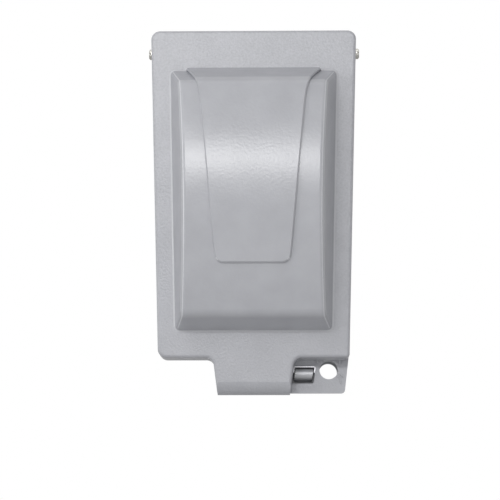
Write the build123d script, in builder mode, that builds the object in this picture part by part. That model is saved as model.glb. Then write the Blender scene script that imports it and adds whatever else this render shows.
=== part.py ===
from build123d import *
from math import cos, radians, sin, tan
import os

# Weatherproof in-use outlet cover, in millimetres.
# X points right, Z points up and the wall is the plane Y = 0, with the cover in front of it.
# "Reach" is a distance out from the wall. The origin is midway between the two box screws.

# Lid plate
lid_top = 91.7
lid_bottom = -85.7
lid_top_half = 55.5
lid_bottom_half = 50.4
lid_reach = 46.0
lid_wall = 2.5
lid_corner = 4.7
lid_edge = 1.6

# Hood over the cord exits, below the plate and between the latch tab and its mirror image
hood_drop = 19.2
hood_taper = 2.5
hood_blend = 4.3
hood_roll = 8.1
hood_crease = 12.0
hood_rake = 9.8

# Dome, with its margins to the edges of the plate
dome_top_margin = 22.5
dome_bottom_margin = 14.2
dome_top_side = 10.15
dome_bottom_side = 9.5
dome_draft = 11.5
dome_rise = 32.0
dome_crown_z = 6.0
dome_crown_radius = 215.0
dome_top_slope = 25.0
dome_bottom_slope = 16.0
dome_shoulder = 6.5
dome_crest = 2.5
dome_foot_blend = 1.4

# Raised panel on the dome, which flares from its waist to its tips at the dome's foot
panel_rise = 1.6
panel_bottom = -39.6
panel_bottom_half = 19.4
panel_corner = 4.5
panel_flare = 23.2
panel_waist_half = 27.4
panel_tip_half = 36.2
panel_edge = 0.7

# Hinge
hinge_drop = 8.3
hinge_setback = 3.0
hinge_ear_radius = 7.0
hinge_ear_length = 23.4
shoulder_radius = 2.1
shoulder_running_gap = 0.06
hinge_thread_radius = 1.6
hinge_thread_length = 6.0
hinge_bore_length = 7.0
hinge_head_radius = 2.9
hinge_head_height = 2.1
hinge_head_edge = 0.6
hinge_slot_width = 0.9
hinge_slot_depth = 1.1
washer_radius = 4.6
lug_radius = 5.1
lug_length = 8.0

# Clearances
side_gap = 0.8
moving_gap = 0.3

# Base
gasket_thickness = 2.0
gasket_margin = 0.8
hinge_over_base = 0.5
bottom_gap = 2.1
base_wall = 2.5
base_floor = 3.0
base_corner = 4.0

# Openings in the floor of the base
device_half_width = 20.0
device_half_height = 34.5
device_corner = 3.0
box_screw_spacing = 83.34
device_screw_spacing = 96.8
screw_hole_radius = 2.2
screw_boss_radius = 4.2
screw_boss_height = 1.0

# Cord notches
notch_spacing = 19.0
notch_width = 13.5
notch_root_reach = 20.0

# Lid gasket and the rib beside it
lid_gasket_width = 5.0
lid_gasket_thickness = 3.2
gasket_rib = 1.0
gasket_rib_height = 1.4
gasket_rib_gap = 0.2

# Latch tab of the lid, set back from the plate and below it
tab_setback = 13.0
tab_wall = 3.0
tab_drop = 17.8
tab_width = 28.9
tab_taper = 2.3
tab_corner = 1.9
step_draft = 2.7
window_drop = 3.5
window_height = 9.4
window_width = 11.7
window_gap = 0.1
window_corner = 0.9
frame_width = 0.6
frame_rise = 0.5
frame_drop = 3.4
lock_offset = 6.85
lock_drop = 5.5
lock_radius = 4.9
gusset_thickness = 1.0
gusset_length = 2.4
gusset_depth = 3.0
gusset_spacing = 11.8

# Lock ear of the base
ear_gap = 0.6
ear_wall = 4.0
ear_recess = 2.6
ear_side = 2.8
ear_margin = 1.6
ear_boss_reach = 14.0
ear_boss_wall = 2.2
ear_rib = 2.0
ear_rib_reach = 8.0

# Catch: a sprung strip as wide as the window, less a gap at each side of its nose
strip = 0.8
nose_gap = 1.1
nose_radius = 3.2
nose_drop = 4.0
nose_setback = 0.4
nose_travel = 1.2
catch_bend = 1.6
catch_top = 1.5
catch_tail = 3.0
rivet_drop = 4.1
rivet_radius = 1.3
rivet_head_radius = 2.3
rivet_head_height = 0.8
rivet_head_edge = 0.4

# Device insert
insert_half_width = 26.0
insert_half_height = 37.2
insert_thickness = 2.6
insert_corner = 3.0
insert_gasket_thickness = 1.0
receptacle_spacing = 38.9
receptacle_radius = 17.45
receptacle_height = 28.8
centre_hole_radius = 1.9
insert_screw_x = 23.2
insert_screw_z = 29.0
insert_screw_radius = 1.1
insert_screw_gap = 0.2
insert_head_radius = 2.2
insert_head_height = 1.4
insert_slot_width = 0.6
insert_slot_depth = 0.7
insert_screw_tip = 0.8

# How far construction solids run past the faces that they cut
overshoot = 20.0


def lid_half(z):
    """Half width of the lid's plate at a height."""
    return lid_bottom_half + (lid_top_half - lid_bottom_half) * (z - lid_bottom) / (lid_top - lid_bottom)


def hood_half(z):
    """Half width of the hood at a height."""
    return hood_root_half - hood_slope * (lid_bottom - z)


# Values worked out from the sizes above: first the lid, from the front plate back to the wall
inner_reach = lid_reach - lid_wall
dome_top = lid_top - dome_top_margin
dome_bottom = lid_bottom + dome_bottom_margin
dome_top_half = lid_half(dome_top) - dome_top_side
dome_bottom_half = lid_half(dome_bottom) - dome_bottom_side
dome_slope = (dome_top_half - dome_bottom_half) / (dome_top - dome_bottom)
hood_bottom = lid_bottom - hood_drop
hood_root_half = lid_bottom_half - tab_width
hood_slope = hood_taper / hood_drop
hood_roll_reach = lid_reach - hood_roll * cos(radians(hood_crease))
hood_roll_z = hood_bottom + hood_roll
hood_crease_z = hood_roll_z - hood_roll * sin(radians(hood_crease))
tab_reach = lid_reach - tab_setback
tab_bottom = lid_bottom - tab_drop
tab_bottom_half = lid_bottom_half - tab_taper
skirt_reach = tab_reach - tab_wall
window_top = lid_bottom - window_drop
window_left = hood_half(window_top) + window_gap
window_right = window_left + window_width
lock_x = window_right + lock_offset
lock_z = lid_bottom - lock_drop

# Hinge and base
hinge_z = lid_top - hinge_drop
hinge_reach = skirt_reach - hinge_setback
washer_thickness = side_gap - moving_gap
lug_face = lid_half(hinge_z) - lid_wall - side_gap
base_top = hinge_z - hinge_over_base
base_bottom = lid_bottom + lid_wall + bottom_gap
floor_reach = gasket_thickness + base_floor
rim_reach = inner_reach - lid_gasket_thickness - moving_gap
insert_reach = floor_reach + insert_gasket_thickness

# Lock ear and catch
ear_reach = skirt_reach - ear_gap
leaf_reach = ear_reach - ear_wall - moving_gap - strip / 2
nose_reach = tab_reach - nose_setback
nose_z = window_top - nose_drop
rivet_z = base_bottom - rivet_drop


def front(reach):
    """Plane parallel to the wall, on which a sketch is seen from the front."""
    return Plane.XZ.offset(reach)


def side(x):
    """Plane across the cover at a distance from its middle, with minus the reach along its X."""
    return Plane.YZ.offset(x)


def outline(plane, points, radii):
    """Closed outline with rounded corners, as a face on a plane."""
    with BuildSketch(plane) as face:
        with BuildLine():
            FilletPolyline(*points, radius=radii, close=True)
        make_face()
    return face.sketch


def tapered(plane, top, bottom, margin, radius):
    """Outline that follows the lid's tapered sides at a margin inside them."""
    points = [
        (-lid_half(top) + margin, top),
        (lid_half(top) - margin, top),
        (lid_half(bottom) - margin, bottom),
        (-lid_half(bottom) + margin, bottom),
    ]
    return outline(plane, points, radius)


def base_outline(reach, inset):
    """Outline of the base, drawn inwards by an inset."""
    margin = lid_wall + side_gap + inset
    radius = max(base_corner - inset, lid_edge)
    return tapered(front(reach), base_top - inset, base_bottom + inset, margin, radius)


def dome(grow, crest=0.0):
    """The dome as a solid, with its surface moved outwards and its crest rounded or left sharp."""
    depth = dome_rise + overshoot
    top_lean, bottom_lean = tan(radians(dome_top_slope)), tan(radians(dome_bottom_slope))
    top_foot = dome_top + grow / cos(radians(dome_top_slope))
    bottom_foot = dome_bottom - grow / cos(radians(dome_bottom_slope))
    spread = grow / cos(radians(dome_draft)) + lid_wall * tan(radians(dome_draft))
    crown = lid_reach + dome_rise + grow
    radius = dome_crown_radius + grow
    with BuildPart() as body:
        # Side view: sloping ends under a long crowned face, joined by rounded shoulders
        with BuildSketch(side(0)) as profile:
            with BuildLine():
                Polyline(
                    (-inner_reach, top_foot + top_lean * lid_wall),
                    (-lid_reach - depth, top_foot - top_lean * depth),
                    (-lid_reach - depth, bottom_foot + bottom_lean * depth),
                    (-inner_reach, bottom_foot - bottom_lean * lid_wall),
                    close=True,
                )
            make_face()
            with Locations((radius - crown, dome_crown_z)):
                Circle(radius, mode=Mode.INTERSECT)
            shoulders = profile.vertices().filter_by_position(Axis.X, -crown, -lid_reach)
            fillet(shoulders, dome_shoulder + grow)
        extrude(amount=dome_top_half + overshoot, both=True)
        # Front view: tapered sides with draft
        with BuildSketch(front(inner_reach)):
            with BuildLine():
                top_half = dome_top_half + spread + dome_slope * overshoot
                bottom_half = dome_bottom_half + spread - dome_slope * overshoot
                Polyline(
                    (-top_half, dome_top + overshoot),
                    (top_half, dome_top + overshoot),
                    (bottom_half, dome_bottom - overshoot),
                    (-bottom_half, dome_bottom - overshoot),
                    close=True,
                )
            make_face()
        extrude(amount=depth, taper=dome_draft, mode=Mode.INTERSECT)
        if crest:
            rims = [edge for edge in body.edges() if abs((edge % 0.5).X) < 0.9]
            fillet([edge for edge in rims if (edge @ 0.5).Y < -inner_reach - 1], crest)
    return body.part


def panel():
    """Raised panel: the dome grown by its rise, inside an outline that flares at the top."""
    tip = (panel_tip_half, dome_top)
    with BuildPart() as body:
        with BuildSketch(front(inner_reach)) as face:
            with BuildLine():
                right = Line((panel_bottom_half, panel_bottom), (panel_waist_half, dome_top - panel_flare))
                TangentArc(right @ 1, tip, tangent=right % 1)
                Line(tip, (panel_tip_half, lid_top))
                mirror(about=Plane.YZ)
                Line((-panel_bottom_half, panel_bottom), (panel_bottom_half, panel_bottom))
                Line((panel_tip_half, lid_top), (-panel_tip_half, lid_top))
            make_face()
            fillet(face.vertices().group_by(Axis.Y)[0], panel_corner)
        extrude(amount=dome_rise + overshoot)
        add(dome(panel_rise), mode=Mode.INTERSECT)
        walls = body.faces().filter_by(lambda face: abs(face.normal_at().Y) < 0.01)
        rims = walls.edges().filter_by(Axis.Y, reverse=True)
        chamfer([edge for edge in rims if (edge @ 0.5).Y < -inner_reach - 1], panel_edge)
    return body.part


def hood_hollow():
    """Space inside the hood: open at the bottom behind its rolled lip."""
    high, low = lid_bottom + 2 * lid_wall, hood_bottom - overshoot
    points = [
        (-hood_half(high) + lid_wall, high),
        (hood_half(high) - lid_wall, high),
        (hood_half(low) - lid_wall, low),
        (-hood_half(low) + lid_wall, low),
    ]
    with BuildPart() as body:
        extrude(outline(front(skirt_reach), points, 0), amount=inner_reach - skirt_reach)
        with BuildSketch(side(0)):
            with Locations((-skirt_reach, high)):
                Rectangle(inner_reach - skirt_reach, high - hood_roll_z, align=(Align.MAX, Align.MAX))
            with Locations((-hood_roll_reach, hood_roll_z)):
                Circle(hood_roll - lid_wall)
            with Locations((-skirt_reach, hood_roll_z)):
                Rectangle(hood_roll_reach - skirt_reach, overshoot, align=(Align.MAX, Align.MAX))
        extrude(amount=hood_root_half, both=True, mode=Mode.INTERSECT)
    return body.part


def hinge_ears():
    """Two rounded ears that carry the sides of the skirt back to the hinge."""
    rear = hinge_reach - hinge_ear_radius - 1
    root = hinge_z - hinge_ear_length
    with BuildPart() as body:
        with BuildSketch(side(0)):
            with BuildLine():
                CenterArc((-hinge_reach, hinge_z), hinge_ear_radius, 0, 360)
                Line((-skirt_reach - 1, root), (-skirt_reach - 1, lid_top - lid_edge))
            make_hull()
        extrude(amount=lid_top_half + 1, both=True)
        skin = tapered(front(rear), lid_top, root - overshoot, 0, lid_corner)
        extrude(skin, amount=lid_reach - rear, mode=Mode.INTERSECT)
        core = tapered(front(rear), lid_top + overshoot, root - 2 * overshoot, lid_wall, 0)
        extrude(core, amount=lid_reach - rear, mode=Mode.SUBTRACT)
    return body.part


def window_x(across, z):
    """Place across the latch window, from 0 at its left to 1 at its right, where it leans with the hood."""
    return window_left + across * window_width + hood_slope * (z - window_top)


def window_outline(reach, margin, top, bottom, radii):
    """Outline between two heights, at a margin outside the window's leaning sides."""
    points = [
        (window_x(0, top) - margin, top),
        (window_x(1, top) + margin, top),
        (window_x(1, bottom) + margin, bottom),
        (window_x(0, bottom) - margin, bottom),
    ]
    return outline(front(reach), points, radii)


os.makedirs("parts", exist_ok=True)


# Lid: plate, skirt and hood, then the dome and panel, then the hollows
with BuildPart() as lid:
    plate_points = [
        (-lid_top_half, lid_top),
        (lid_top_half, lid_top),
        (lid_bottom_half, lid_bottom),
        (hood_root_half, lid_bottom),
        (hood_root_half - hood_taper, hood_bottom),
        (-hood_root_half + hood_taper, hood_bottom),
        (-hood_root_half, lid_bottom),
        (-lid_bottom_half, lid_bottom),
    ]
    plate_radii = [lid_corner, lid_corner, tab_corner, hood_blend, 0, 0, hood_blend, lid_corner]
    extrude(outline(front(skirt_reach), plate_points, plate_radii), amount=lid_reach - skirt_reach)

    # The hood's lower edge rolls in towards the wall, and its sides rise behind the roll
    rake_rise = (hood_roll_reach - skirt_reach) * tan(radians(hood_rake))
    with BuildSketch(side(0)):
        with Locations((-hood_roll_reach, hood_roll_z)):
            Rectangle(2 * hood_roll, 2 * hood_roll, align=(Align.MAX, Align.MAX))
            Circle(hood_roll, mode=Mode.SUBTRACT)
        with BuildLine():
            Polyline(
                (-hood_roll_reach, hood_bottom),
                (-skirt_reach, hood_bottom + rake_rise),
                (-skirt_reach, hood_bottom),
                close=True,
            )
        make_face()
    extrude(amount=lid_top_half, both=True, mode=Mode.SUBTRACT)
    front_rim = lid.faces().sort_by(Axis.Y)[0].edges()
    front_rim = [edge for edge in front_rim if abs(edge.center().Z - hood_crease_z) > 0.01]
    roll_rim = lid.edges().filter_by_position(Axis.Z, hood_bottom, hood_crease_z)
    roll_rim = roll_rim.filter_by(GeomType.CIRCLE)
    fillet(front_rim + roll_rim, lid_edge)

    # Dome with a small blend at its foot, and the panel on it
    add(dome(0, dome_crest))
    foot = [edge for edge in lid.edges() if abs(edge.center().Y + lid_reach) < 0.01 and
            abs(edge.center().X) < dome_top_half + 1 and
            dome_bottom - 1 < edge.center().Z < dome_top + 1]
    fillet(foot, dome_foot_blend)
    add(panel())

    # Hollows: behind the plate, inside the dome and inside the hood
    hollow_corner = lid_corner - lid_wall
    hollow = tapered(front(skirt_reach), lid_top - lid_wall, lid_bottom + lid_wall, lid_wall, hollow_corner)
    extrude(hollow, amount=inner_reach - skirt_reach, mode=Mode.SUBTRACT)
    add(dome(-lid_wall), mode=Mode.SUBTRACT)
    add(hood_hollow(), mode=Mode.SUBTRACT)

    # Rib that keeps the gasket in place
    rib_inset = lid_gasket_width + gasket_rib_gap
    extrude(base_outline(inner_reach, rib_inset) - base_outline(inner_reach, rib_inset + gasket_rib),
            amount=-gasket_rib_height)

    # Hinge ears with their holes
    add(hinge_ears())
    with BuildSketch(side(0)):
        with Locations((-hinge_reach, hinge_z)):
            Circle(shoulder_radius + shoulder_running_gap)
    extrude(amount=lid_top_half + 1, both=True, mode=Mode.SUBTRACT)

    # Latch tab behind the lower right corner, under a step with draft
    tab_points = [
        (hood_half(lid_bottom) - lid_wall / 2, lid_bottom + lid_wall / 2),
        (lid_half(lid_bottom + lid_wall), lid_bottom + lid_wall),
        (tab_bottom_half, tab_bottom),
        (hood_half(tab_bottom) - lid_wall / 2, tab_bottom),
    ]
    extrude(outline(front(skirt_reach), tab_points, [0, 0, tab_corner, 0]), amount=tab_wall)
    step_reach = lid_reach - lid_edge
    with BuildSketch(side(hood_root_half)):
        with BuildLine():
            Polyline(
                (-step_reach, lid_bottom),
                (-step_reach, lid_bottom + lid_wall / 2),
                (-tab_reach, lid_bottom + lid_wall / 2),
                (-tab_reach, lid_bottom - (step_reach - tab_reach) * tan(radians(step_draft))),
                close=True,
            )
        make_face()
    extrude(amount=lid_bottom_half - tab_corner - hood_root_half)
    for offset_x in (-gusset_spacing / 2, gusset_spacing / 2):
        with BuildSketch(side(lock_x + offset_x - gusset_thickness / 2)):
            with BuildLine():
                Polyline(
                    (-tab_reach, lid_bottom),
                    (-tab_reach - gusset_depth, lid_bottom),
                    (-tab_reach, lid_bottom - gusset_length),
                    close=True,
                )
            make_face()
        extrude(amount=gusset_thickness)

    # Latch window with a raised rim round its upper half, and padlock hole
    window_bottom = window_top - window_height
    frame_bottom = window_top - frame_drop
    window = window_outline(skirt_reach, 0, window_top, window_bottom, window_corner)
    extrude(window, amount=tab_wall, mode=Mode.SUBTRACT)
    rim = window_outline(skirt_reach, 0, window_top, frame_bottom, [window_corner, window_corner, 0, 0])
    rim -= window_outline(skirt_reach, -frame_width, window_top - frame_width, frame_bottom, 0)
    extrude(rim, amount=tab_wall + frame_rise)
    with BuildSketch(front(skirt_reach)):
        with Locations((lock_x, lock_z)):
            Circle(lock_radius)
    extrude(amount=tab_wall, mode=Mode.SUBTRACT)

lid.part.label = "lid"
export_step(lid.part, "parts/lid.step")


# Lid gasket: foam ring on the inside of the plate, opposite the rim of the base
with BuildPart() as lid_gasket:
    ring_reach = rim_reach + moving_gap
    extrude(base_outline(ring_reach, 0) - base_outline(ring_reach, lid_gasket_width),
            amount=inner_reach - ring_reach)

lid_gasket.part.label = "lid_gasket"
export_step(lid_gasket.part, "parts/lid_gasket.step")


def base_holes(reach, depth):
    """Screw holes of the base and its gasket, as solids to take away."""
    with BuildPart() as body:
        with BuildSketch(front(reach)):
            for spacing in (box_screw_spacing, device_screw_spacing):
                with GridLocations(0, spacing, 1, 2):
                    Circle(screw_hole_radius)
        extrude(amount=depth)
    return body.part


# Base: open box on the wall
with BuildPart() as base_frame:
    extrude(base_outline(gasket_thickness, 0), amount=rim_reach - gasket_thickness)
    extrude(base_outline(floor_reach, base_wall), amount=rim_reach - floor_reach, mode=Mode.SUBTRACT)

    # Device opening, screw bosses and screw holes in the floor
    with BuildSketch(front(floor_reach)):
        for spacing in (box_screw_spacing, device_screw_spacing):
            with GridLocations(0, spacing, 1, 2):
                Circle(screw_boss_radius)
    extrude(amount=screw_boss_height)
    with BuildSketch(front(gasket_thickness)):
        RectangleRounded(2 * device_half_width, 2 * device_half_height, device_corner)
        with GridLocations(2 * insert_screw_x, 2 * insert_screw_z, 2, 2):
            Circle(insert_screw_radius)
    extrude(amount=base_floor, mode=Mode.SUBTRACT)
    add(base_holes(gasket_thickness, base_floor + screw_boss_height), mode=Mode.SUBTRACT)

    # Notches for two cords in the bottom wall, open to the rim
    notch_radius = notch_width / 2
    with BuildSketch(Plane.XY.offset(base_bottom)):
        with GridLocations(notch_spacing, 0, 2, 1):
            with Locations((0, -notch_root_reach - notch_radius)):
                Circle(notch_radius)
                Rectangle(notch_width, rim_reach, align=(Align.CENTER, Align.MAX))
    extrude(amount=base_wall, mode=Mode.SUBTRACT)

    # Hinge lugs with threaded bores
    for hand in (-1, 1):
        with BuildSketch(side(hand * lug_face)):
            with Locations((-hinge_reach, hinge_z)):
                Circle(lug_radius)
                Rectangle(2 * lug_radius, hinge_z - base_top + base_corner, align=(Align.CENTER, Align.MAX))
        extrude(amount=-hand * lug_length)
        with BuildSketch(side(hand * lug_face)):
            with Locations((-hinge_reach, hinge_z)):
                Circle(hinge_thread_radius)
        extrude(amount=-hand * hinge_bore_length, mode=Mode.SUBTRACT)

    # Lock ear behind the latch tab
    ear_left = hood_half(tab_bottom) - ear_side
    ear_right = lid_half(base_bottom) - lid_wall - side_gap
    ear_bottom = tab_bottom + ear_margin
    ear_points = [
        (ear_left, base_bottom + base_wall),
        (ear_right, base_bottom + base_wall),
        (ear_right - tab_taper, ear_bottom),
        (ear_left, ear_bottom),
    ]
    extrude(outline(front(ear_reach), ear_points, [0, 0, tab_corner, tab_corner]), amount=-ear_wall)
    with BuildSketch(front(ear_boss_reach)):
        with Locations((lock_x, lock_z)):
            Circle(lock_radius + ear_boss_wall)
    extrude(amount=ear_reach - ear_boss_reach)
    for rib_x in (ear_left, lock_x - ear_rib / 2):
        with BuildSketch(side(rib_x)):
            with BuildLine():
                Polyline(
                    (-ear_reach + ear_wall / 2, base_bottom + base_wall / 2),
                    (-ear_rib_reach, base_bottom + base_wall / 2),
                    (-ear_boss_reach, lock_z + lock_radius + ear_boss_wall / 2),
                    (-ear_reach + ear_wall / 2, lock_z + lock_radius + ear_boss_wall / 2),
                    close=True,
                )
            make_face()
        extrude(amount=ear_rib)
    with BuildSketch(front(ear_boss_reach)):
        with Locations((lock_x, lock_z)):
            Circle(lock_radius)
    extrude(amount=ear_reach - ear_boss_reach, mode=Mode.SUBTRACT)
    pocket = window_outline(ear_reach, moving_gap, window_top, window_top - window_height, 0)
    extrude(pocket, amount=-ear_recess, mode=Mode.SUBTRACT)
    slot_top = nose_z + nose_radius + catch_bend - strip / 2
    slot_bottom = nose_z - nose_radius - nose_travel
    slot = window_outline(ear_reach, moving_gap - nose_gap, slot_top, slot_bottom, 0)
    extrude(slot, amount=-ear_wall, mode=Mode.SUBTRACT)
    with BuildSketch(front(ear_reach)):
        with Locations((window_x(0.5, rivet_z), rivet_z)):
            Circle(rivet_radius)
    extrude(amount=-ear_wall, mode=Mode.SUBTRACT)

base_frame.part.label = "base_frame"
export_step(base_frame.part, "parts/base_frame.step")


# Wall gasket: foam sheet behind the base
with BuildPart() as wall_gasket:
    extrude(base_outline(0, gasket_margin), amount=gasket_thickness)
    with BuildSketch(front(0)):
        RectangleRounded(2 * device_half_width, 2 * device_half_height, device_corner)
    extrude(amount=gasket_thickness, mode=Mode.SUBTRACT)
    add(base_holes(0, gasket_thickness), mode=Mode.SUBTRACT)

wall_gasket.part.label = "wall_gasket"
export_step(wall_gasket.part, "parts/wall_gasket.step")


def insert_blank(reach, thickness):
    """Rounded plate the size of the device insert, with clearance holes for its screws."""
    with BuildPart() as body:
        with BuildSketch(front(reach)):
            RectangleRounded(2 * insert_half_width, 2 * insert_half_height, insert_corner)
            with GridLocations(2 * insert_screw_x, 2 * insert_screw_z, 2, 2):
                Circle(insert_screw_radius + insert_screw_gap, mode=Mode.SUBTRACT)
        extrude(amount=thickness)
    return body.part


# Gasket under the device insert
with BuildPart() as insert_gasket:
    add(insert_blank(floor_reach, insert_gasket_thickness))
    with BuildSketch(front(floor_reach)):
        RectangleRounded(2 * device_half_width, 2 * device_half_height, device_corner)
    extrude(amount=insert_gasket_thickness, mode=Mode.SUBTRACT)

insert_gasket.part.label = "insert_gasket"
export_step(insert_gasket.part, "parts/insert_gasket.step")


# Device insert: adapter plate for a duplex receptacle
with BuildPart() as device_insert:
    add(insert_blank(insert_reach, insert_thickness))
    with BuildSketch(front(insert_reach)):
        with GridLocations(0, receptacle_spacing, 1, 2):
            with BuildSketch(mode=Mode.PRIVATE) as receptacle:
                Circle(receptacle_radius)
                Rectangle(2 * receptacle_radius, receptacle_height, mode=Mode.INTERSECT)
            add(receptacle.sketch)
        Circle(centre_hole_radius)
    extrude(amount=insert_thickness, mode=Mode.SUBTRACT)

device_insert.part.label = "device_insert"
export_step(device_insert.part, "parts/device_insert.step")


# Catch: spring strip with a rounded nose, hung behind the lock ear, its sides parallel to the window's
with BuildPart() as catch:
    strip_top = base_bottom - catch_top
    strip_bottom = nose_z - nose_radius - catch_tail
    with BuildSketch(side(0)):
        with BuildLine():
            bend = nose_radius - strip / 2
            FilletPolyline(
                (-leaf_reach, strip_top),
                (-leaf_reach, nose_z + bend),
                (-nose_reach + strip / 2, nose_z + bend),
                (-nose_reach + strip / 2, nose_z - bend),
                (-leaf_reach, nose_z - bend),
                (-leaf_reach, strip_bottom),
                radius=[catch_bend, 0.99 * bend, 0.99 * bend, catch_bend],
            )
        trace(line_width=strip)
    extrude(amount=lid_bottom_half)
    corners = [0, 0, catch_bend, catch_bend]
    blank = window_outline(leaf_reach - strip, -nose_gap, strip_top, strip_bottom, corners)
    extrude(blank, amount=nose_reach + strip - leaf_reach, mode=Mode.INTERSECT)
    with BuildSketch(front(leaf_reach - strip)):
        with Locations((window_x(0.5, rivet_z), rivet_z)):
            Circle(rivet_radius + moving_gap)
    extrude(amount=2 * strip, mode=Mode.SUBTRACT)

catch.part.label = "catch"
export_step(catch.part, "parts/catch.step")


def disc(plane, centre, radius, length):
    """Round bar that starts on a plane."""
    with BuildPart() as body:
        with BuildSketch(plane):
            with Locations(centre):
                Circle(radius)
        extrude(amount=length)
    return body.part


# Rivet that holds the catch, flush with the front of the ear
with BuildPart() as catch_rivet:
    head_reach = leaf_reach - strip / 2 - moving_gap
    rivet_centre = (window_x(0.5, rivet_z), rivet_z)
    add(disc(front(head_reach), rivet_centre, rivet_radius, ear_reach - head_reach))
    add(disc(front(head_reach), rivet_centre, rivet_head_radius, -rivet_head_height))
    chamfer(catch_rivet.faces().sort_by(Axis.Y)[-1].edges(), rivet_head_edge)

catch_rivet.part.label = "catch_rivet"
export_step(catch_rivet.part, "parts/catch_rivet.step")


# Hinge screws: slotted shoulder screws that enter the lugs from outside, with a washer on each
hinge_axis = (-hinge_reach, hinge_z)
head_x = lid_half(hinge_z) + moving_gap
for hand, name in ((-1, "left"), (1, "right")):
    lug_plane, head_plane = side(hand * lug_face), side(hand * head_x)
    with BuildPart() as hinge_screw:
        add(disc(lug_plane, hinge_axis, hinge_thread_radius, -hand * hinge_thread_length))
        add(disc(lug_plane, hinge_axis, shoulder_radius, hand * (head_x - lug_face)))
        add(disc(head_plane, hinge_axis, hinge_head_radius, hand * hinge_head_height))
        chamfer(hinge_screw.faces().sort_by(Axis((0, 0, 0), (hand, 0, 0)))[-1].edges(), hinge_head_edge)
        with BuildSketch(side(hand * (head_x + hinge_head_height))):
            with Locations(hinge_axis):
                Rectangle(3 * hinge_head_radius, hinge_slot_width)
        extrude(amount=-hand * hinge_slot_depth, mode=Mode.SUBTRACT)

    hinge_screw.part.label = f"hinge_screw_{name}"
    export_step(hinge_screw.part, f"parts/hinge_screw_{name}.step")

    with BuildPart() as hinge_washer:
        add(disc(lug_plane, hinge_axis, washer_radius, hand * washer_thickness))
        bore = disc(lug_plane, hinge_axis, shoulder_radius + shoulder_running_gap, hand * washer_thickness)
        add(bore, mode=Mode.SUBTRACT)

    hinge_washer.part.label = f"hinge_washer_{name}"
    export_step(hinge_washer.part, f"parts/hinge_washer_{name}.step")


# Insert screws: one pan head screw at each corner of the insert
seat_reach = insert_reach + insert_thickness
tip_reach = gasket_thickness + insert_screw_tip
corners = [(x, z) for z in (insert_screw_z, -insert_screw_z) for x in (-insert_screw_x, insert_screw_x)]
for number, corner in enumerate(corners, start=1):
    with BuildPart() as insert_screw:
        add(disc(front(tip_reach), corner, insert_screw_radius, seat_reach - tip_reach))
        add(disc(front(seat_reach), corner, insert_head_radius, insert_head_height))
        with BuildSketch(front(seat_reach + insert_head_height)):
            with Locations(corner):
                Rectangle(3 * insert_head_radius, insert_slot_width)
        extrude(amount=-insert_slot_depth, mode=Mode.SUBTRACT)

    insert_screw.part.label = f"insert_screw_{number}"
    export_step(insert_screw.part, f"parts/insert_screw_{number}.step")
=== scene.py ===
from math import cos, pi, radians, sin

import bpy
import numpy as np
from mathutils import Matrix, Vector


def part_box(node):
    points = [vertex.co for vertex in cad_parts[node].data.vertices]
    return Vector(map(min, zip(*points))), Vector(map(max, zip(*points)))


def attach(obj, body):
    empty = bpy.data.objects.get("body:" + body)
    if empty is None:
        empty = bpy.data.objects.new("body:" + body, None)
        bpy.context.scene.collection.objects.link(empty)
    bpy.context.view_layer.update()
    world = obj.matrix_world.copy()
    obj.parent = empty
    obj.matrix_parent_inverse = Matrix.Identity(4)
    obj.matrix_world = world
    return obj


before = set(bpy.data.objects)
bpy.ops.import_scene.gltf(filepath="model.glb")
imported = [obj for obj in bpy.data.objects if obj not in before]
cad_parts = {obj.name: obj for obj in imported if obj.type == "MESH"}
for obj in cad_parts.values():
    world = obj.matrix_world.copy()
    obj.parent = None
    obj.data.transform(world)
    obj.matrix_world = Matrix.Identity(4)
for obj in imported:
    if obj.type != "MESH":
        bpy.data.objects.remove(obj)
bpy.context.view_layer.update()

MM = 0.001

# Places on the cover that looks depend on, in metres. Reach is a distance out from the wall.
plate_reach = 46.0 * MM
tab_reach = 33.0 * MM
tab_back_reach = 30.0 * MM
ear_back_reach = 25.4 * MM
window_top = -89.2 * MM
window_left = 21.144 * MM
window_width = 11.7 * MM
window_lean = 2.5 / 19.2
lock_hole = (39.694 * MM, 0.0, -91.2 * MM)
lock_radius = 4.9 * MM


# Shader helpers

def linear(code):
    """Turns an sRGB hex colour into the linear RGBA that a shader takes."""
    values = [int(code[i:i + 2], 16) / 255 for i in (1, 3, 5)]
    values = [v / 12.92 if v <= 0.04045 else ((v + 0.055) / 1.055) ** 2.4 for v in values]
    return (*values, 1.0)


def add(tree, kind, inputs=None, **settings):
    """Adds one shader node with its settings and links, and gives its outputs.

    Inputs go by socket name or number, and each is a value or another node's output."""
    made = tree.nodes.new(kind)
    for name, value in settings.items():
        setattr(made, name, value)
    for key, value in (inputs or {}).items():
        if isinstance(value, bpy.types.NodeSocket):
            tree.links.new(value, made.inputs[key])
        else:
            made.inputs[key].default_value = value
    return made.outputs


def new_material(name):
    """An empty material with its nodes and the place on the cover that its patterns read."""
    made = bpy.data.materials.new(name)
    made.use_nodes = True
    tree = made.node_tree
    tree.nodes.clear()
    return made, tree, add(tree, "ShaderNodeTexCoord")["Object"]


def region(tree, *bounds):
    """Mask that is 1 in a region of the cover and 0 elsewhere.

    Each bound is a coordinate, or another measure of the surface, with its two limits."""
    inside = 1.0
    for measure, low, high in bounds:
        inputs = {0: measure, 1: (low + high) / 2, 2: (high - low) / 2}
        between = add(tree, "ShaderNodeMath", inputs, operation="COMPARE")[0]
        inside = add(tree, "ShaderNodeMath", {0: inside, 1: between}, operation="MULTIPLY")[0]
    return inside


def weighed(tree, *patterns):
    """Product of patterns, each with the values that its 0 and its 1 stand for."""
    weight = 1.0
    for pattern, low, high in patterns:
        inputs = {"Value": pattern, "To Min": low, "To Max": high}
        stretched = add(tree, "ShaderNodeMapRange", inputs)["Result"]
        weight = add(tree, "ShaderNodeMath", {0: weight, 1: stretched}, operation="MULTIPLY")[0]
    return weight


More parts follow.
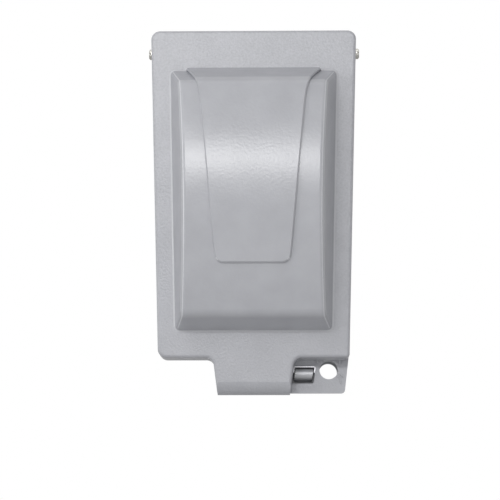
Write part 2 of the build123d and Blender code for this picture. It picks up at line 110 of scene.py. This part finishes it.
def give_surface(tree, sockets, base, layers, roughness=(), bumps=()):
    """Gives a material its shader, with the colour, roughness and relief of its surface.

    The sockets go straight on the shader. The base colour lies under the layers, each a pattern
    with the colour that it brings. Roughness is a product of patterns, each with its values at
    0 and 1. Bumps lie on one another, each a pattern with its real height in metres."""
    inputs = dict(sockets)
    colour = linear(base)
    for pattern, code in layers:
        coats = {"Factor": pattern, 6: colour, 7: linear(code)}
        colour = add(tree, "ShaderNodeMix", coats, data_type="RGBA")[2]
    inputs["Base Color"] = colour
    if roughness:
        inputs["Roughness"] = weighed(tree, *roughness)
    for pattern, height in bumps:
        relief = {"Height": pattern, "Distance": height, "Strength": 1.0}
        if "Normal" in inputs:
            relief["Normal"] = inputs["Normal"]
        inputs["Normal"] = add(tree, "ShaderNodeBump", relief)["Normal"]
    shader = add(tree, "ShaderNodeBsdfPrincipled", inputs)["BSDF"]
    add(tree, "ShaderNodeOutputMaterial", {"Surface": shader})


# Materials

def powder_coated_casting():
    """Grey polyester powder coat on die-cast aluminium."""
    # The dome's die was polished, so the powder flows out there into a smooth satin with a faint
    # orange peel. The plate, hood and skirt come from a blasted die, and its grain shows through
    # as paler and darker specks, drawn about 1 mm coarse so that they show. The specks grow weaker
    # lower down: their strength near the top is a painted sparkle where the highlight lies. Powder
    # gathers glossy in the corner at the dome's foot, and a pale line painted there is a painted
    # highlight. The pale lines along the dome's long edges are painted highlights too. Little of
    # the powder reaches into the padlock hole, so that stays dull and rough. The rim of the latch
    # window is drawn as bright bare metal, a painted highlight along its top and upper sides.
    peel_size, peel_height = 1.5 * MM, 0.055 * MM
    sand_size, sand_height = 1.1 * MM, 0.16 * MM
    cloud_size = 14.0 * MM
    # Heights over which the grain's painted sparkle grows from weak to full
    sparkle_weak_below, sparkle_full_above = -80.0 * MM, 20.0 * MM
    dome_back, beyond_dome = plate_reach + 2.0 * MM, 120.0 * MM
    edge_turn_low, edge_turn_high = 0.42, 0.6
    made, tree, place = new_material("powder_coated_casting")

    # Measures of the surface: its place, how far it is from the middle of the padlock hole, and
    # how much it faces sideways, from 0 for the front to 1 for the side
    x, y, z = add(tree, "ShaderNodeSeparateXYZ", {0: place})
    facing = add(tree, "ShaderNodeTexCoord")["Normal"]
    facing_x = add(tree, "ShaderNodeSeparateXYZ", {0: facing})["X"]
    sideways = add(tree, "ShaderNodeMath", {0: facing_x}, operation="ABSOLUTE")[0]
    without_y = {0: place, 1: (1.0, 0.0, 1.0)}
    flat = add(tree, "ShaderNodeVectorMath", without_y, operation="MULTIPLY")["Vector"]
    to_hole = {0: flat, 1: lock_hole}
    from_hole = add(tree, "ShaderNodeVectorMath", to_hole, operation="DISTANCE")["Value"]

    # Where each finish lies
    blasted = add(tree, "ShaderNodeMapRange", {
        "Value": y,
        "From Min": -plate_reach - 0.9 * MM,
        "From Max": -plate_reach - 0.2 * MM})["Result"]
    # Painted sparkle: the specks grow stronger towards the top, where the highlight lies
    sparkle_towards_top = add(tree, "ShaderNodeMapRange", {
        "Value": z, "From Min": sparkle_weak_below, "From Max": sparkle_full_above})["Result"]
    foot = region(tree, (y, -plate_reach - 1.3 * MM, -plate_reach - 0.05 * MM))
    # Pale line at the dome's foot: a painted highlight
    painted_foot_highlight = region(tree, (y, -plate_reach - 0.6 * MM, -plate_reach - 0.04 * MM))
    # Pale lines along the dome's long edges, where they turn sideways: a painted highlight
    painted_edge_highlight = region(
        tree, (y, -beyond_dome, -dome_back), (sideways, edge_turn_low, edge_turn_high))
    bore = region(
        tree,
        (from_hole, 0.0, lock_radius + 0.3 * MM),
        (y, -tab_back_reach - 0.1 * MM, 0.0))
    # Rim of the latch window, drawn as bright bare metal on its top and upper sides: a painted
    # highlight
    rim = region(
        tree,
        (x, window_left - 0.8 * MM, window_left + window_width + 0.3 * MM),
        (y, -tab_reach - 0.8 * MM, -tab_reach - 0.1 * MM),
        (z, window_top - 4.0 * MM, window_top + 0.1 * MM))

    # The fleck is the grain's paler and darker specks, and keyed is its height. Both are weak on
    # the smooth dome. The specks also grow weaker lower down, a painted sparkle that is strongest
    # near the top, where the highlight lies.
    peel = add(tree, "ShaderNodeTexNoise", {
        "Vector": place, "Scale": 1 / peel_size, "Detail": 1.5})["Fac"]
    sand = add(tree, "ShaderNodeTexNoise", {
        "Vector": place, "Scale": 1 / sand_size, "Detail": 3.0, "Roughness": 0.6})["Fac"]
    cloud = add(tree, "ShaderNodeTexNoise", {
        "Vector": place, "Scale": 1 / cloud_size, "Detail": 3.0})["Fac"]
    fleck = weighed(tree, (sand, -0.5, 0.5), (blasted, 0.2, 2.4), (sparkle_towards_top, 0.3, 1.0))
    tint = add(tree, "ShaderNodeMath", {0: cloud, 1: fleck}, operation="ADD")[0]
    keyed = weighed(tree, (sand, 0.0, 1.0), (blasted, 0.08, 1.0), (rim, 1.0, 0.1))

    # Colour layers: random tone and specks, painted highlights on the dome's long edges and foot,
    # a paler colour in the padlock hole, and a painted highlight on the window's rim
    give_surface(
        tree, {"IOR": 1.5, "Metallic": rim}, "#9d9ea3",
        [(tint, "#acadb2"), (painted_edge_highlight, "#c0c1c5"), (painted_foot_highlight, "#b6b7bb"),
         (bore, "#babbbf"), (rim, "#bebec2")],
        roughness=[(blasted, 0.25, 0.33), (foot, 1.0, 0.45), (bore, 1.0, 2.8)],
        bumps=[(peel, peel_height), (keyed, sand_height)])
    return made


def closed_cell_foam():
    """Black EPDM foam, cut from sheet."""
    # Cut cells leave pits under a millimetre across, and the rubber is matt with paler cell edges.
    cell_size, pit_depth = 0.8 * MM, 0.12 * MM
    made, tree, place = new_material("closed_cell_foam")
    cells = add(tree, "ShaderNodeTexVoronoi", {
        "Vector": place, "Scale": 1 / cell_size})["Distance"]
    give_surface(
        tree, {"Roughness": 0.85, "IOR": 1.5}, "#151516", [(cells, "#2b2b2d")],
        bumps=[(cells, pit_depth)])
    return made


def moulded_pvc():
    """Grey PVC adapter plate, moulded in a spark-eroded tool."""
    # The tool leaves an even fine grain, drawn 0.5 mm coarse so that it shows.
    grain_size, grain_height = 0.5 * MM, 0.02 * MM
    made, tree, place = new_material("moulded_pvc")
    grain = add(tree, "ShaderNodeTexNoise", {"Vector": place, "Scale": 1 / grain_size})["Fac"]
    give_surface(
        tree, {"Roughness": 0.5, "IOR": 1.53}, "#5c5e61", [(grain, "#66686b")],
        bumps=[(grain, grain_height)])
    return made


def natural_nylon():
    """Milky nylon washer, punched from sheet."""
    # Nylon lets light in a little, and its face has a faint grain from the rolls.
    grain_size, grain_height, light_depth = 0.6 * MM, 0.01 * MM, 1.0 * MM
    made, tree, place = new_material("natural_nylon")
    grain = add(tree, "ShaderNodeTexNoise", {"Vector": place, "Scale": 1 / grain_size})["Fac"]
    sockets = {
        "Roughness": 0.42, "IOR": 1.53,
        "Subsurface Weight": 0.15, "Subsurface Scale": light_depth}
    give_surface(
        tree, sockets, "#dcd8cc", [(grain, "#e6e3d9")],
        bumps=[(grain, grain_height)])
    return made


def turned_zinc_plate(name, centre, axis):
    """Zinc plated steel screw or rivet, turned about an axis through its centre."""
    # The tool leaves fine rings, drawn 1.9 mm apart so that they show. The plating is bright,
    # with slightly duller clouds.
    ring_spacing, ring_height, cloud_size = 1.885 * MM, 0.008 * MM, 1.5 * MM
    made, tree, place = new_material(f"turned_zinc_plate_{name}")
    shift = tuple(-v for v in centre)
    local = add(tree, "ShaderNodeMapping", {"Vector": place, "Location": shift})["Vector"]
    spacing_at_scale_1 = 2 * pi / 20
    ring_scale = spacing_at_scale_1 / ring_spacing
    rings = add(
        tree, "ShaderNodeTexWave", {"Vector": local, "Scale": ring_scale, "Distortion": 0.4},
        wave_type="RINGS", rings_direction=axis)["Fac"]
    cloud = add(tree, "ShaderNodeTexNoise", {"Vector": place, "Scale": 1 / cloud_size})["Fac"]
    give_surface(
        tree, {"Metallic": 1.0}, "#b9b7b1", [(cloud, "#d4d2cc")],
        roughness=[(cloud, 0.22, 0.36)], bumps=[(rings, ring_height)])
    return made


def rolled_spring_steel():
    """Nickel plated spring strip, rolled and bent."""
    # Rolling leaves fine lines along the strip, seen as soft streaks in the highlight on its nose.
    # The plating is dulled by weather, and so drawn only half metallic.
    line_spacing, line_height, line_stretch = 0.35 * MM, 0.01 * MM, 0.06
    cloud_size = 3.0 * MM
    made, tree, place = new_material("rolled_spring_steel")
    drawn_out = add(tree, "ShaderNodeMapping", {
        "Vector": place, "Scale": (1.0, line_stretch, line_stretch)})["Vector"]
    lines = add(tree, "ShaderNodeTexNoise", {
        "Vector": drawn_out, "Scale": 1 / line_spacing})["Fac"]
    cloud = add(tree, "ShaderNodeTexNoise", {"Vector": place, "Scale": 1 / cloud_size})["Fac"]
    give_surface(
        tree, {"Metallic": 0.45}, "#b0b1b4", [(cloud, "#bcbdc0")],
        roughness=[(lines, 0.38, 0.5)], bumps=[(lines, line_height)])
    return made


def finish_with(material, *names):
    """Gives nodes of the frame a material in place of their plain one."""
    for name in names:
        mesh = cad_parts[name].data
        mesh.materials.clear()
        mesh.materials.append(material)


def middle(name):
    """Centre of a node's box."""
    low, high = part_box(name)
    return tuple((a + b) / 2 for a, b in zip(low, high))


coat = powder_coated_casting()
foam = closed_cell_foam()
finish_with(coat, "lid", "base_frame")
finish_with(foam, "lid_gasket", "wall_gasket", "insert_gasket")
finish_with(moulded_pvc(), "device_insert")
finish_with(natural_nylon(), "hinge_washer_left", "hinge_washer_right")
finish_with(rolled_spring_steel(), "catch")
for axis, names in (
    ("X", ("hinge_screw_left", "hinge_screw_right")),
    ("Y", ("insert_screw_1", "insert_screw_2", "insert_screw_3", "insert_screw_4",
           "catch_rivet")),
):
    for name in names:
        finish_with(turned_zinc_plate(name, middle(name), axis), name)


# New pieces

def rounded_bar(name, start, end, half_width, half_height, square, body, slot, material):
    """A bar from start to end that lies on a face turned to the front.

    It is a superellipsoid: a sphere whose sines and cosines of latitude and longitude are raised
    to a power under 1, which squares its sides off, then stretched to the bar's size."""
    around, rings = 24, 15
    start, end = np.array(start), np.array(end)
    along = (end - start) / 2
    out = np.array((0.0, -1.0, 0.0))
    across = np.cross(out, along)
    across /= np.linalg.norm(across)

    def squared(wave):
        return np.sign(wave) * np.abs(wave) ** square

    longitude = np.arange(around) * 2 * np.pi / around
    latitude = (np.arange(1, rings + 1) / (rings + 1) - 0.5) * np.pi
    girth = squared(np.cos(latitude))[:, None, None]
    lift = squared(np.sin(latitude))[:, None, None]
    section = (squared(np.cos(longitude))[:, None] * across * half_width
               + squared(np.sin(longitude))[:, None] * out * half_height)
    grid = (girth * section[None] + lift * along).reshape(-1, 3)
    points = np.vstack([grid, -along, along]) + (start + end) / 2

    first = np.arange(around)
    after = (first + 1) % around
    row = np.arange(rings - 1)[:, None] * around
    corners = [row + first, row + after, row + around + after, row + around + first]
    sides = np.stack(corners, 2).reshape(-1, 4)
    top = (rings - 1) * around
    low_pole = np.full(around, len(points) - 2)
    high_pole = np.full(around, len(points) - 1)
    low_cap = np.stack([after, first, low_pole], 1)
    high_cap = np.stack([top + first, top + after, high_pole], 1)

    mesh = bpy.data.meshes.new(name)
    faces = sides.tolist() + low_cap.tolist() + high_cap.tolist()
    mesh.from_pydata(points.tolist(), [], faces)
    mesh.shade_smooth()
    mesh.materials.append(material)
    made = bpy.data.objects.new(name, mesh)
    bpy.context.scene.collection.objects.link(made)
    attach(made, body)


def window_x(across, z):
    """Place across the latch window, 0 at its left and 1 at its right. It leans with the hood."""
    return window_left + across * window_width + window_lean * (z - window_top)


# Small arrow cast on the tab, which shows that the lid lifts. Its strokes run from and to places
# in millimetres from its tip.
arrow_x, arrow_top, arrow_reach = 45.8 * MM, -93.5 * MM, tab_reach - 0.05 * MM
stroke_half_width, stroke_half_height, stroke_square = 0.4 * MM, 0.45 * MM, 0.6
for name, start, end in (
    ("arrow_left", (-1.7, -1.7), (0.0, 0.0)),
    ("arrow_right", (1.7, -1.7), (0.0, 0.0)),
    ("arrow_stem", (0.1, -5.2), (0.0, -1.4)),
):
    places = [(arrow_x + x * MM, -arrow_reach, arrow_top + z * MM) for x, z in (start, end)]
    rounded_bar(
        name, *places, stroke_half_width, stroke_half_height, stroke_square,
        "lid", "powder_coat", coat)

# Black foam strips behind the lock ear close the slot on both sides of the catch and act as
# painted shade: they make the gaps beside the catch dark. The catch stands one gap inside each
# edge of the window. The right strip is narrower, because the boss round the padlock hole stands
# beside it.
catch_gap, strip_clear = 1.1 * MM, 0.03 * MM
strip_depth, strip_square = 1.6 * MM, 0.15
strip_top, strip_bottom = window_top + 1.2 * MM, window_top - 9.4 * MM
strip_y = -ear_back_reach + strip_depth / 2
for name, edge, hand, strip_width in (
    ("slot_shade_strip_left", 0, -1, 1.7 * MM),
    ("slot_shade_strip_right", 1, 1, 1.04 * MM),
):
    shift = hand * (strip_clear + strip_width / 2 - catch_gap)
    places = [(window_x(edge, z) + shift, strip_y, z) for z in (strip_bottom, strip_top)]
    rounded_bar(
        name, *places, strip_width / 2, strip_depth / 2, strip_square,
        "base", "foam", foam)


# Camera: in front, one degree to the right and nine degrees below, as in the photograph

photo_pixels = 500
photo_mm_per_pixel = 0.53
photo_width = photo_pixels * photo_mm_per_pixel * MM
camera_distance = 950 * MM
camera_azimuth = radians(1.0)
camera_elevation = radians(-9.0)
camera_target = Vector((-1.9 * MM, -plate_reach, -28.6 * MM))

ahead = Vector((
    -sin(camera_azimuth) * cos(camera_elevation),
    cos(camera_azimuth) * cos(camera_elevation),
    -sin(camera_elevation),
))
camera = bpy.data.objects.new("camera", bpy.data.cameras.new("camera"))
bpy.context.scene.collection.objects.link(camera)
camera.data.sensor_width = 36
camera.data.lens = camera.data.sensor_width * camera_distance / photo_width
camera.data.clip_start = 10 * MM
camera.location = camera_target - ahead * camera_distance
camera.rotation_mode = "QUATERNION"
camera.rotation_quaternion = ahead.to_track_quat("-Z", "Y")
bpy.context.scene.camera = camera


# Studio: lamps, floor and a white surround

lamp_target = Vector((0, -plate_reach, 0))


def lamp(name, azimuth, elevation, distance, width, height, power):
    """Rectangular soft white lamp that looks at the cover.

    Angles are in degrees, with azimuth 0 in front and positive to the right. Lengths are in
    metres and power is in watts."""
    a, e = radians(azimuth), radians(elevation)
    outwards = Vector((sin(a) * cos(e), -cos(a) * cos(e), sin(e)))
    data = bpy.data.lights.new(name, "AREA")
    data.shape = "RECTANGLE"
    data.size, data.size_y = width, height
    data.energy = power
    made = bpy.data.objects.new(name, data)
    bpy.context.scene.collection.objects.link(made)
    made.location = lamp_target + outwards * distance
    made.rotation_mode = "QUATERNION"
    made.rotation_quaternion = (-outwards).to_track_quat("-Z", "Y")


lamp("band_light", -7, 16.7, 1.6, 0.7, 0.12, 7.4)
lamp("corner_light", -18, 25, 1.6, 0.4, 0.3, 1.1)
lamp("close_light", -33, 42, 0.45, 0.3, 0.3, 0.24)
lamp("left_light", -60, 5, 1.7, 0.8, 1.0, 7.6)
lamp("right_light", 60, 10, 1.7, 0.8, 1.0, 1.3)
lamp("top_light", -8, 66, 1.5, 0.7, 0.25, 0.9)
lamp("low_light", 0, -16, 0.62, 0.6, 0.05, 0.16)


def pale_surround():
    """World that lights the cover evenly and looks white to the camera and in reflections."""
    even_strength, seen_strength = 0.35, 1.0
    white = linear("#ffffff")
    world = bpy.data.worlds.new("pale_surround")
    world.use_nodes = True
    tree = world.node_tree
    tree.nodes.clear()
    rays = add(tree, "ShaderNodeLightPath")
    seen = rays["Is Camera Ray"]
    for kind in ("Is Glossy Ray", "Is Transmission Ray"):
        seen = add(tree, "ShaderNodeMath", {0: seen, 1: rays[kind]}, operation="MAXIMUM")[0]
    lights = [
        add(tree, "ShaderNodeBackground", {"Color": white, "Strength": strength})[0]
        for strength in (even_strength, seen_strength)]
    both = add(tree, "ShaderNodeMixShader", {0: seen, 1: lights[0], 2: lights[1]})[0]
    add(tree, "ShaderNodeOutputWorld", {"Surface": both})
    bpy.context.scene.world = world


pale_surround()


def pale_floor():
    """White floor below the camera, which keeps the soft shadow of the cover."""
    half, level, cloud_size = 3.0, -0.2, 60.0 * MM
    corners = [
        (-half, -half, level), (half, -half, level), (half, half, level), (-half, half, level)]
    material, tree, place = new_material("white_paper_floor")
    cloud = add(tree, "ShaderNodeTexNoise", {"Vector": place, "Scale": 1 / cloud_size})["Fac"]
    give_surface(tree, {"Roughness": 0.7}, "#f2f2f2", [(cloud, "#f6f6f6")])
    mesh = bpy.data.meshes.new("floor")
    mesh.from_pydata(corners, [], [(0, 1, 2, 3)])
    mesh.materials.append(material)
    made = bpy.data.objects.new("floor", mesh)
    bpy.context.scene.collection.objects.link(made)


pale_floor()

bpy.context.scene.view_settings.view_transform = "Standard"
